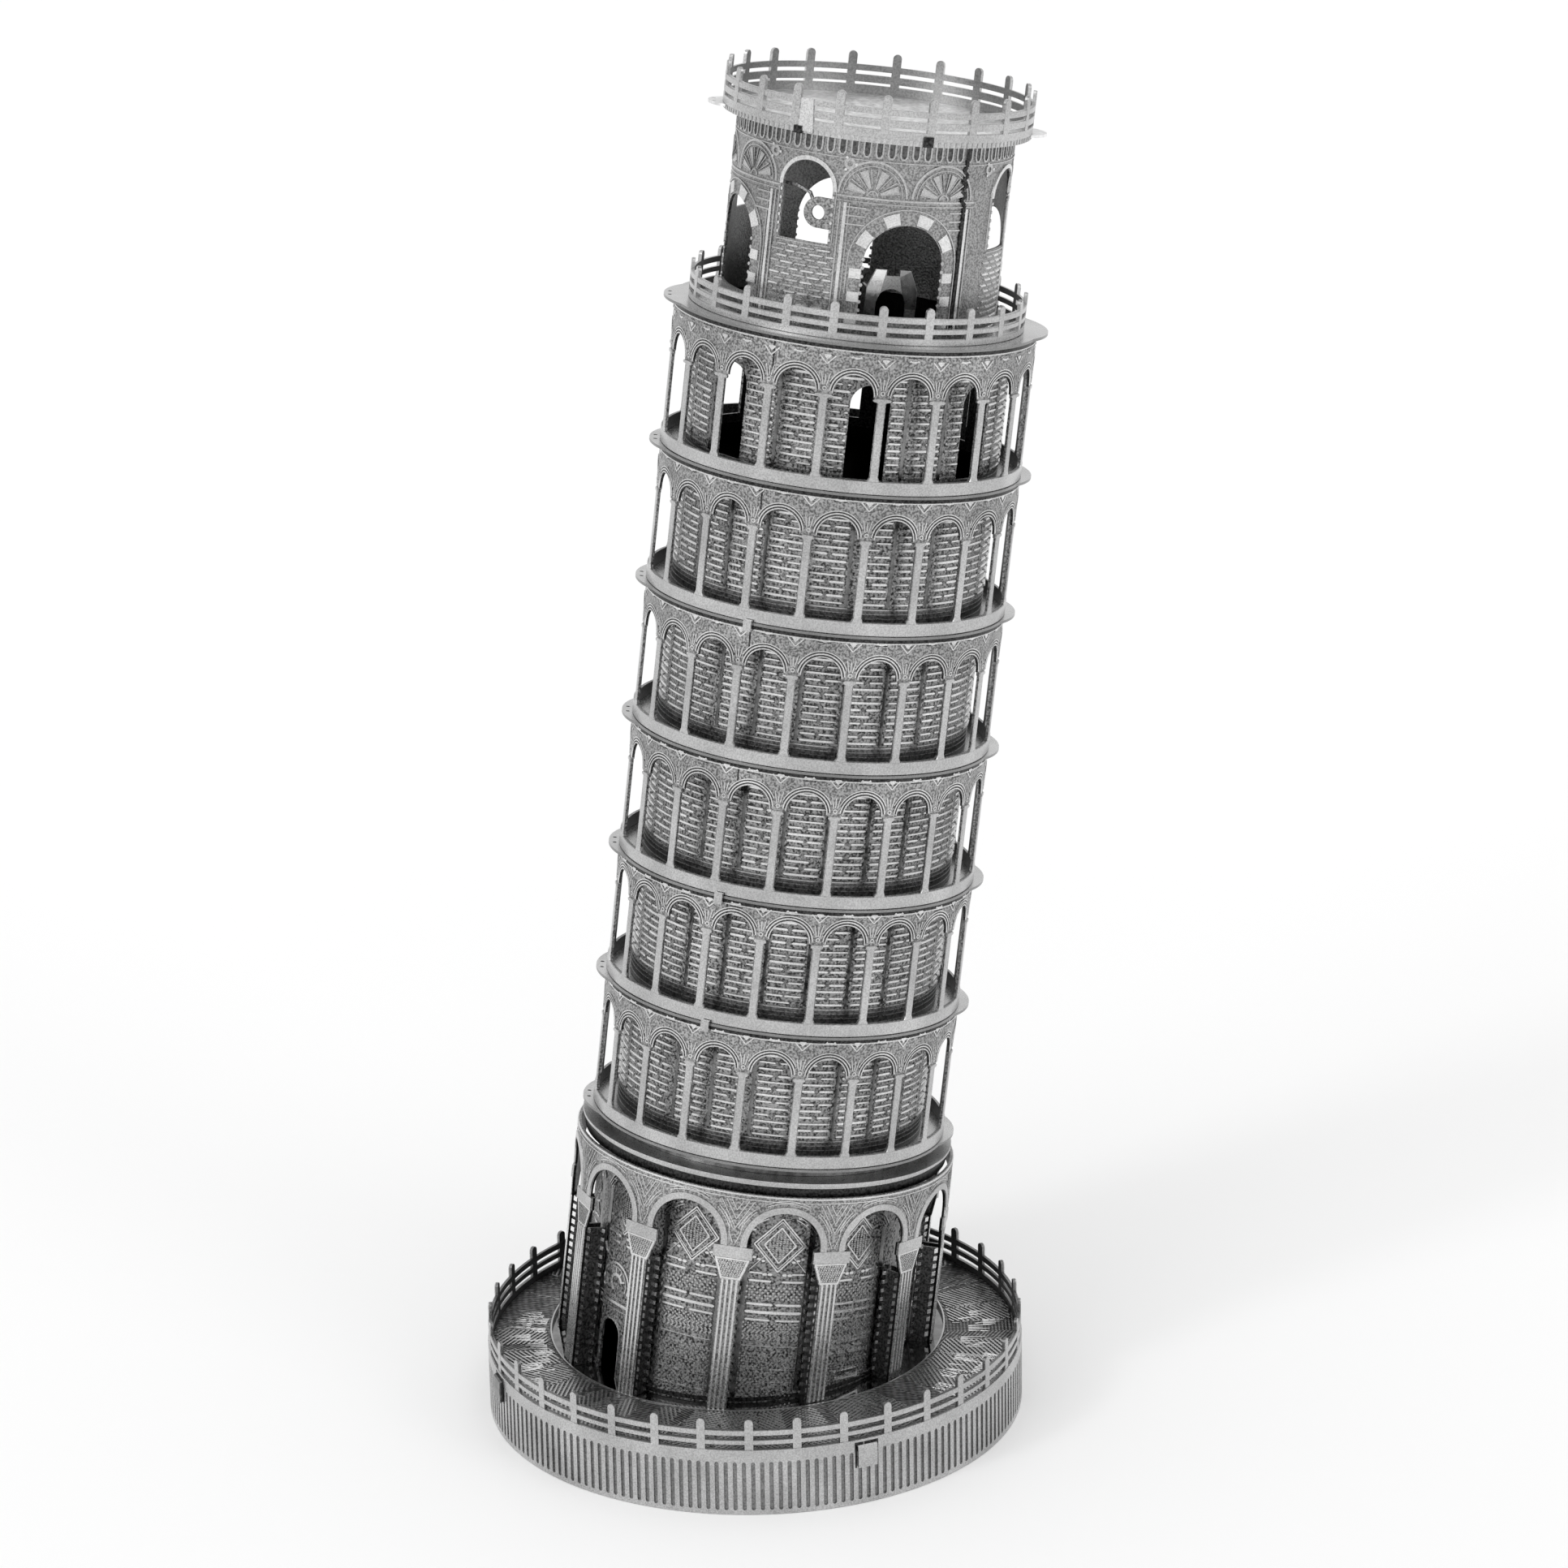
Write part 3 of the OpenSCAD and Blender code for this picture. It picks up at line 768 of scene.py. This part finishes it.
def folds():
    """Bright dashes left along the fold lines on both sides of every ground column."""
    verts, faces = [], []
    for i in range(GROUND_BAYS):
        az = GROUND_TURN + i * GROUND_PITCH
        a = math.radians(az)
        low = ground_floor_height(az, GROUND_R) + 0.3
        for side in (-1, 1):
            for r, pitch, length in ((14.12, 0.62, 0.36), (12.95, 0.7, 0.3)):
                h = low
                while h < 9.0:
                    b = len(verts)
                    for dr, dh in ((-0.13, 0), (0.13, 0.1), (0.13, 0.1 + length), (-0.13, length)):
                        for s in (0.58, 0.74):
                            rr = r + dr
                            point = Vector((rr * math.sin(a) + side * s * math.cos(a),
                                            -rr * math.cos(a) + side * s * math.sin(a), h + dh))
                            verts.append(LEANING @ point * MM)
                    faces.extend([(b, b + 2, b + 4, b + 6), (b + 7, b + 5, b + 3, b + 1),
                                  (b, b + 1, b + 3, b + 2), (b + 2, b + 3, b + 5, b + 4),
                                  (b + 4, b + 5, b + 7, b + 6), (b + 6, b + 7, b + 1, b)])
                    h += pitch
    place_mesh("column_fold_dashes", verts, faces, BRIGHT)


def ground_arcade():
    faces = Relief("ground_arcade_faces", GROUND_R, LEANING, 0.07)
    smooth = Relief("ground_arcade_arches", GROUND_R, LEANING, 0.1)
    for i in range(GROUND_BAYS):
        az = GROUND_TURN + i * GROUND_PITCH
        foot = ground_floor_height(az, GROUND_R) + 0.05
        for rib in range(4):
            faces.post(az, (rib - 1.5) * 0.36, foot, 9.3, 0.2, 0.02, GROUND_R + 0.13)
        edge = [(-0.66, 9.3), (-1.25, 10.95)]
        for side in (-1, 1):
            faces.line(az, [(side * s * -1, h) for s, h in edge], 0.16)
        faces.line(az, [(-0.72, 9.38), (0.72, 9.38)], 0.16)
        faces.line(az, [(-1.25, 10.88), (1.25, 10.88)], 0.12)
        for row in range(9):
            h = 9.58 + row * 0.145
            half = 0.55 + 0.36 * (h - 9.4)
            faces.dots(az, -half + 0.08 * (row % 2), half, h, 0.2, 0.055)
        under, over = [[(-1.46, h), (1.46, h)] for h in (10.97, 11.95)]
        smooth.ribbon(az, under, over, False, 0.03, GROUND_R + 0.16)
        bay = az + GROUND_PITCH / 2
        smooth.arc(bay, 0, GROUND_SPRING, GROUND_ARCH + 0.01, GROUND_ARCH + 0.55, -3, 183, 30, 0.03)
        for r in (3.55, 3.75):
            for start, stop in ((64, 116), (20, 50), (130, 160)):
                faces.arc(bay, 0, GROUND_SPRING, r, r + 0.05, start, stop, 10)
        for reach in (1.25, 0.85, 0.45):
            faces.line(az, [(-reach, 15.6), (0, 15.6 - 1.75 * reach), (reach, 15.6)], 0.05)
        for side in (-1, 1):
            faces.line(az, [(side * 0.1, 12.2), (side * 0.42, 13.0), (side * 0.5, 13.9)], 0.05)
            faces.line(az, [(side * 0.95, 14.6), (side * 0.6, 14.0), (side * 0.62, 13.7)], 0.05)
    faces.ring(15.98, 16.15, 0.02)
    faces.ring(15.72, 15.78)
    faces.build(RAISED, "bright_steel")
    smooth.build(SMOOTH, "bright_steel")
    shadow = Relief("cornice_shadow", 13.9, LEANING, 0.03)
    shadow.ring(16.0, 16.7)
    shadow.build(DARK, "dark_steel")


# ---------------------------------------------------------------- galleries
ARCADE_BAYS = 20
WALL_PANELS = 23
COURSE = 0.513
GALLERY_TURN = [6, 7, 8, 8, 8.2, 8.4]
# Only the top gallery's wall has door openings
TOP_GALLERY = 5
GALLERY_DOORS = [-48.5, 6.2, 51.5, 131.5, 179.5, 228.5]
DOOR_CLEARANCE = 1.55


def clear_spans(k, az, s0, s1, h):
    """The parts of a bar on a gallery's wall that do not run across a door."""
    if k != TOP_GALLERY or not 0.7 < h - DECKS[k] < 7.9:
        return [(s0, s1)]
    for door in GALLERY_DOORS:
        off = ((door - az + 180) % 360 - 180) * math.radians(WALL_R)
        low, high = off - DOOR_CLEARANCE, off + DOOR_CLEARANCE
        if s0 < high and s1 > low:
            return [p for p in ((s0, min(s1, low)), (max(s0, high), s1)) if p[1] - p[0] > 0.2]
    return [(s0, s1)]


def gallery_walls():
    pitch = 360 / WALL_PANELS
    for k in range(6):
        deck = DECKS[k]
        top = DECKS[k + 1] - 0.35
        wall = Relief("gallery_%d_bricks" % (k + 1), WALL_R, LEANING, 0.12)
        joints = Relief("gallery_%d_joints" % (k + 1), WALL_R, LEANING, 0.02)
        turn = 6.1 + random.uniform(-2, 2) * (k != 1)
        has_doors = k == TOP_GALLERY
        for n in range(WALL_PANELS):
            gap = turn + n * pitch
            middle = gap + pitch / 2
            row = 0
            h = deck + (1.02 if has_doors else 2.05)
            if clear_spans(k, gap, -0.15, 0.15, deck + 4) == [(-0.15, 0.15)]:
                joints.post(gap, 0, h - 0.15, top, 0.24)
            while h < top:
                t = 0.24 * random.uniform(0.85, 1.15)
                if row % 2:
                    left_end = -0.15 + random.uniform(-0.1, 0.1)
                    right_end = 0.15 + random.uniform(-0.1, 0.1)
                    spans = [(-1.32, left_end), (right_end, 1.32)]
                    for az, r in ((gap, 0.17), (middle, 0.12)):
                        if clear_spans(k, az, -r, r, h) == [(-r, r)]:
                            joints.disc(az, 0, h, r, 8, WALL_R + 0.05)
                else:
                    spans = [(-1.32, 1.32)]
                    if random.random() < 0.15:
                        spans = [(-1.32, 0.5)]
                for span in spans:
                    for s0, s1 in clear_spans(k, middle, *span, h):
                        wall.bar(middle, s0, s1, h, t, 0.05)
                h += COURSE
                row += 1
        for h in (0.5, 0.95, 1.3, 1.62):
            if h < 0.7 or not has_doors:
                wall.ring(deck + h, deck + h + 0.06, 0, WALL_R + 0.04)
        # Painted shade: a darker band along the wall's foot.
        shade = Relief("gallery_%d_foot" % (k + 1), WALL_R, LEANING, 0.015)
        shade.ring(deck + 0.15, deck + (0.75 if has_doors else 1.75), 0)
        shade.build(GALLERY_FOOT_SHADE, "etched_steel")
        joints.build(SHADE, "etched_steel")
        wall.build(RAISED, "etched_steel")


def gallery_arcades():
    pitch = 360 / ARCADE_BAYS
    arch = 1.46
    for k in range(6):
        deck = DECKS[k]
        top = DECKS[k + 1] - 0.12
        spring = deck + 7.3
        smooth = Relief("gallery_%d_columns" % (k + 1), GALLERY_R, LEANING, 0.07)
        faces = Relief("gallery_%d_arches" % (k + 1), GALLERY_R, LEANING, 0.06)
        lines = Relief("gallery_%d_shadow_lines" % (k + 1), GALLERY_R, LEANING, 0.015)
        smooth.ring(deck + 0.13, deck + 1.09, 0.03)
        for i in range(ARCADE_BAYS):
            az = GALLERY_TURN[k] + i * pitch
            bay = az + pitch / 2
            shaft = [(-0.44, 1.07), (-0.3, 1.4), (-0.3, 6.85), (-0.42, 6.92), (-0.42, 7.2)]
            left = [(s, deck + h) for s, h in shaft]
            smooth.ribbon(az, left, [(-s, h) for s, h in left], False, 0.04)
            cap = 0.66 if k == TOP_GALLERY else 0.46
            smooth.bar(az, -cap, cap, deck + 7.06, 0.28, 0.03, GALLERY_R + 0.12)
            faces.arc(bay, 0, spring, arch + 0.01, arch + 0.12, 0, 180, 18, 0.02)
            lines.arc(bay, 0, spring, arch + 0.14, arch + 0.21, 5, 175, 16)
            faces.arc(bay, 0, spring, arch + 0.23, arch + 0.32, 5, 175, 16)
            lines.arc(bay, 0, spring, arch + 0.35, arch + 0.41, 20, 160, 14)
            faces.arc(bay, 0, spring, arch + 0.44, arch + 0.51, 24, 156, 14)
            faces.arc(az, 0, spring + 0.28, 0.1, 0.17, 0, 360, 8)
            faces.line(az, [(0, spring + 0.55), (0, spring + 1.3)], 0.07)
            for side in (-1, 1):
                faces.line(az, [(side * 0.12, spring + 0.5), (side * 0.32, spring + 1.4)], 0.06)
            crown = min(top - 0.25, spring + 2.7)
            faces.line(az, [(-0.6, crown), (0, crown - 0.62), (0.6, crown)], 0.09)
            faces.plate(az, [(-0.3, crown), (0, crown - 0.32), (0.3, crown)])
            faces.bar(az, -0.25, 0.25, crown + 0.02, 0.12, 0.02)
            faces.bar(bay, -0.42, 0.42, crown + 0.02, 0.12, 0.02)
            faces.arc(bay, 0, crown + 0.35, 0.34, 0.46, 215, 325, 6, 0.02)
            lines.bar(bay, -0.5, 0.5, top - 0.48, 0.12)
            lines.bar(az, -0.3, 0.3, top - 0.52, 0.1)
        lines.ring(top - 0.26, top - 0.02)
        faces.ring(top - 0.36, top - 0.29, 0)
        if k:
            lines.line(-22.0 - k, [(0.0, top - 0.1), (0.05, spring + 1.2)], 0.12)
        lines.build(DARK, "dark_steel")
        smooth.build(SMOOTH, "bright_steel")
        faces.build(RAISED, "bright_steel")


# ---------------------------------------------------------------- belfry and top
BELFRY_PORTALS = [15, 108, 191, 288]
BELFRY_WINDOWS = [70.5, 150, 241, 331.5]


def lunette(wall, az):
    """A fan of stones under a half-round moulding."""
    base = 90.85
    wall.arc(az, 0, base, 2.36, 2.58, 0, 180, 24, 0.03)
    wall.arc(az, 0, base, 2.12, 2.18, 0, 180, 18)
    wall.arc(az, 0, base, 0.32, 0.4, 0, 180, 8)
    for n in range(7):
        a = 90 + (n - 3) * 24
        if n % 2 == 0:
            wall.arc(az, 0, base, 0.55, 1.95, a - 8, a + 8, 2, 0.03)
        for edge in (a - 8, a + 8):
            wall.arc(az, 0, base, 0.55, 1.95, edge - 1.2, edge + 1.2, 1, 0, BELFRY_R + 0.12)


def portal(wall, light, az, low):
    """The stones and shafts round a tall opening."""
    spring = low + 5.4
    for n in (-3, -1, 1, 3):
        a = 90 + n * 20
        light.arc(az, 0, spring, 3.08, 4.0, a - 9, a + 9, 3, 0.04)
    for h in (spring - 0.75, spring - 2.45, spring - 4.1):
        for side in (-1, 1):
            light.ribbon(az, [(side * 3.1, h - 0.4), (side * 3.95, h - 0.4)],
                         [(side * 3.1, h + 0.4), (side * 3.95, h + 0.4)], False, 0.04)
    wall.arc(az, 0, spring, 4.12, 4.2, 0, 180, 24)
    for side in (-1, 1):
        wall.post(az, side * 4.16, low + 0.3, spring, 0.08)
        light.post(az, side * 4.72, low + 0.3, 90.2, 0.3, 0.03)
        wall.post(az, side * 5.1, low + 0.3, 90.2, 0.1)
        wall.post(az, side * 4.42, low + 0.3, 90.2, 0.06)
        for n in range(7):
            wall.disc(az, side * 3.02, low + 2.0 + n * 0.62, 0.14, 6)
        for row in range(3):
            wall.bar(az, side * 3.9 - 0.75, side * 3.9 + 0.75, 89.9 - row * 0.62, 0.2)


def window(wall, light, az, low):
    """The arch and side shafts of a small opening, with bricks below it and roundels above."""
    centre = low + 12.3 - 1.99
    light.arc(az, 0, centre, 2.0, 2.36, 0, 180, 22, 0.03, BELFRY_R + 0.13)
    for side in (-1, 1):
        wall.post(az, side * 2.3, low + 6.5, centre, 0.12, 0.03)
        for n in range(6):
            light.disc(az, side * 2.1, low + 6.8 + n * 0.62, 0.13, 6, None, 0.8)
        wall.arc(az, side * 3.05, 93.0, 0.2, 0.42, 0, 360, 12)
        for n in range(3):
            a = 2 * math.pi * n / 3
            light.disc(az, side * 3.05 + 0.5 * math.cos(a), 93.0 + 0.5 * math.sin(a), 0.11, 6)
    wall.bar(az, -2.3, 2.3, low + 6.3, 0.14, 0.03)
    h = low + 0.5
    row = 0
    while h < low + 6.1:
        s = -2.5 + 0.5 * (row % 2)
        while s < 2.3:
            length = random.uniform(0.75, 1.15)
            (light if random.random() < 0.6 else wall).bar(az, s, min(s + length, 2.6), h, 0.27, 0.07)
            s += length + 0.16
        h += 0.42
        row += 1


def belfry():
    wall = Relief("belfry_relief", BELFRY_R, LEANING, 0.08)
    light = Relief("belfry_stones", BELFRY_R, LEANING, 0.11)
    low = DECKS[6]
    for az in BELFRY_PORTALS:
        portal(wall, light, az, low)
        lunette(wall, az - 16)
        lunette(wall, az + 14.2)
        for h, t in ((90.66, 0.18), (90.34, 0.1), (90.1, 0.05)):
            wall.bar(az, -5.4, 5.4, h, t, 0.02)
    for az in BELFRY_WINDOWS:
        window(wall, light, az, low)
    wall.ring(93.35, 93.42)
    wall.ring(94.72, 94.95, 0.02)
    slots = Relief("belfry_corbel_slots", BELFRY_R, LEANING, 0.02)
    corbels = 72
    for i in range(corbels):
        az = i * 360 / corbels
        for side in (-1, 1):
            wall.line(az, [(side * 0.25, 94.7), (side * 0.25, 93.9), (side * 0.13, 93.64)], 0.12)
        wall.line(az, [(-0.15, 93.64), (0.15, 93.64)], 0.12)
        slots.post(az, 0, 93.7, 94.7, 0.4)
    slots.build(PIT, "etched_steel")
    wall.build(SMOOTH, "etched_steel")
    light.build(RAISED, "etched_steel")

    seam = Relief("belfry_seam", BELFRY_R, LEANING, 0.12)
    points = [(0, 94.6), (0.05, 93.3)]
    points += [(0.22 * (1 if n % 2 else -1), 93.0 - n * 0.36) for n in range(8)]
    points += [(0.1 + 0.06 * (n % 2), 90.0 - n * 0.5) for n in range(18)]
    seam.line(39.0, points, 0.26)
    seam.build(DARK, "dark_steel")


def bell_frame_faces():
    """The bracket's left leg with a painted highlight and its right shoulder with painted shade, as thin
    plates on its front.
    """
    turn = math.radians(8)
    left = ([(-1.87, 0.05), (-1.87, 1.6), (-1.87, 2.68), (-1.29, 4.07)],
            [(-1.13, 0.05), (-1.12, 1.6), (-0.85, 2.35), (-0.53, 4.07)])
    right = ([(0.53, 3.6), (0.75, 2.5), (1.12, 1.65), (1.13, 1.3)],
             [(1.29, 4.05), (1.86, 2.68), (1.86, 1.9), (1.86, 1.3)])
    for name, paths, material in (("bell_frame_left", left, BRIGHT), ("bell_frame_right", right, SHADE)):
        verts = []
        for points in zip(*paths):
            for x, h in points:
                for depth in (4.89, 4.95):
                    flat = Vector((x + 1.55, -depth, DECKS[6] + 0.12 + h))
                    verts.append(LEANING @ (Matrix.Rotation(turn, 4, "Z") @ flat) * MM)
        place_mesh(name, verts, four_sided(len(paths[0])), material)


def railings():
    low = DECKS[6]
    railing_faces("gallery_railing_faces", RAILING_R, LEANING,
                  [(low + 0.14, low + 0.58), (low + 0.97, low + 1.3), (low + 1.69, low + 2.08)],
                  low + 0.5, low + 2.83, 22, -42.35, 0.63)
    base = TOP_DECK - 0.25
    railing_faces("top_railing_faces", TOP_R, LEANING,
                  [(base + 0.37, base + 0.98), (base + 1.22, base + 1.73), (base + 2.07, base + 2.48)],
                  base + 0.9, base + 3.46, 21, -67.8, 0.63)
    teeth = Relief("top_teeth", TOP_R, LEANING, 0.05)
    count = 150
    for i in range(count):
        teeth.post(i * 360 / count, 0, TOP_DECK - 0.23, TOP_DECK + 0.1, 0.2)
    teeth.build(SMOOTH)
    end = Relief("top_strip_end", TOP_R, LEANING, 0.14)
    left = [(-0.55, base + 0.2), (-0.5, base + 2.5)]
    right = [(0.75, base + 0.1), (0.55, base + 2.55)]
    end.ribbon(-29.0, left, right, False, 0.05)
    end.build(RAISED)
    tabs = Relief("top_strip_tabs", TOP_R, LEANING, 0.25)
    tabs.ribbon(-31.5, [(-0.3, base - 0.05), (-0.3, base + 0.5)], [(0.3, base - 0.05), (0.3, base + 0.5)])
    tabs.ribbon(17.0, [(-0.35, base + 0.0), (-0.35, base + 0.75)], [(0.35, base + 0.0), (0.35, base + 0.75)])
    tabs.build(DARK, "dark_steel")


plinth()
plinth_tab(FRONT_TAB_AZ, SMOOTH, "front_tab_cover")
plinth_tab(LEFT_TAB_AZ, SHADE, "left_tab_cover")
tab_slots()
plaza()
ground_wall()
folds()
ground_arcade()
gallery_walls()
gallery_arcades()
belfry()
bell_frame_faces()
railings()


# ---------------------------------------------------------------- materials of the CAD nodes
OWN_FINISH = {
    "plinth_band_front": GROOVE_SHADE,
    "plinth_band_back": GROOVE_SHADE,
    "plaza_disc": PAVING,
    "basin_floor": MIRROR,
    "basin_collar": RAIL,
    "ground_arcade": FLANKED,
    "cornice_setback": SHADE,
    "belfry_deck": BELFRY_DECK,
    "belfry_wall": BELFRY,
    "bell_ring": FACING,
    "top_deck": LIT_TOP_PLATE,
    "top_railing": TOP_RAIL,
}
FINISH_BY_LAST_WORD = {"arcade": FACING, "wall": ETCHED, "deck": DECK, "railing": RAIL}


def dress(node):
    """Gives a CAD node its steel."""
    by_kind = FINISH_BY_LAST_WORD.get(node.split("_")[-1], SMOOTH)
    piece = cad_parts[node]
    piece.data.materials.clear()
    piece.data.materials.append(OWN_FINISH.get(node, by_kind))


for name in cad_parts:
    dress(name)


# ---------------------------------------------------------------- stage, light and camera
def stage():
    """The white surface that the model stands on."""
    mesh = bpy.data.meshes.new("floor")
    work = bmesh.new()
    bmesh.ops.create_grid(work, x_segments=4, y_segments=4, size=4.0)
    work.to_mesh(mesh)
    work.free()
    kit = Steel("floor_white", 0.0)
    kit.shader.inputs["Base Color"].default_value = (0.84, 0.84, 0.84, 1)
    kit.shader.inputs["Emission Color"].default_value = (1, 1, 1, 1)
    kit.shader.inputs["Emission Strength"].default_value = 0.1
    kit.shader.inputs["Roughness"].default_value = 0.8
    mesh.materials.append(kit.mat)
    floor = bpy.data.objects.new("floor", mesh)
    bpy.context.scene.collection.objects.link(floor)


def sun(name, az, elevation, strength, angle):
    """A soft distant light from an azimuth and an elevation."""
    light = bpy.data.lights.new(name, "SUN")
    light.energy = strength
    light.angle = math.radians(angle)
    lamp = bpy.data.objects.new(name, light)
    bpy.context.scene.collection.objects.link(lamp)
    a, e = math.radians(az), math.radians(elevation)
    towards = Vector((math.sin(a) * math.cos(e), -math.cos(a) * math.cos(e), math.sin(e)))
    lamp.rotation_euler = towards.to_track_quat("Z", "Y").to_euler()


def lights():
    """A white studio with four soft lights."""
    world = bpy.data.worlds.new("studio")
    world.use_nodes = True
    bpy.context.scene.world = world
    world.node_tree.nodes["Background"].inputs["Color"].default_value = (1, 1, 1, 1)
    world.node_tree.nodes["Background"].inputs["Strength"].default_value = 0.84
    sun("front_left", -48, 34, 0.35, 30)
    sun("glint", -54, 36, 0.28, 9)
    sun("front_right", 52, 30, 0.26, 24)
    sun("top", 10, 72, 0.3, 40)


def camera():
    """A long lens in front and above, with the photograph's framing and its slight roll."""
    elevation = math.radians(20.08)
    distance = 0.4235
    pivot = Vector((0, 0, 0.05))
    data = bpy.data.cameras.new("camera")
    data.sensor_width = 36
    data.lens = 130.26
    data.shift_x = 0.0256
    data.shift_y = 0.0022
    data.clip_start = 0.01
    view = bpy.data.objects.new("camera", data)
    bpy.context.scene.collection.objects.link(view)
    view.location = pivot + Vector((0, -math.cos(elevation), math.sin(elevation))) * distance
    aim = (pivot - view.location).to_track_quat("-Z", "Y")
    roll = Matrix.Rotation(math.radians(-1.16), 4, "Z").to_quaternion()
    view.rotation_euler = (aim @ roll).to_euler()
    bpy.context.scene.camera = view


stage()
lights()
camera()
bpy.context.scene.view_settings.view_transform = "Standard"
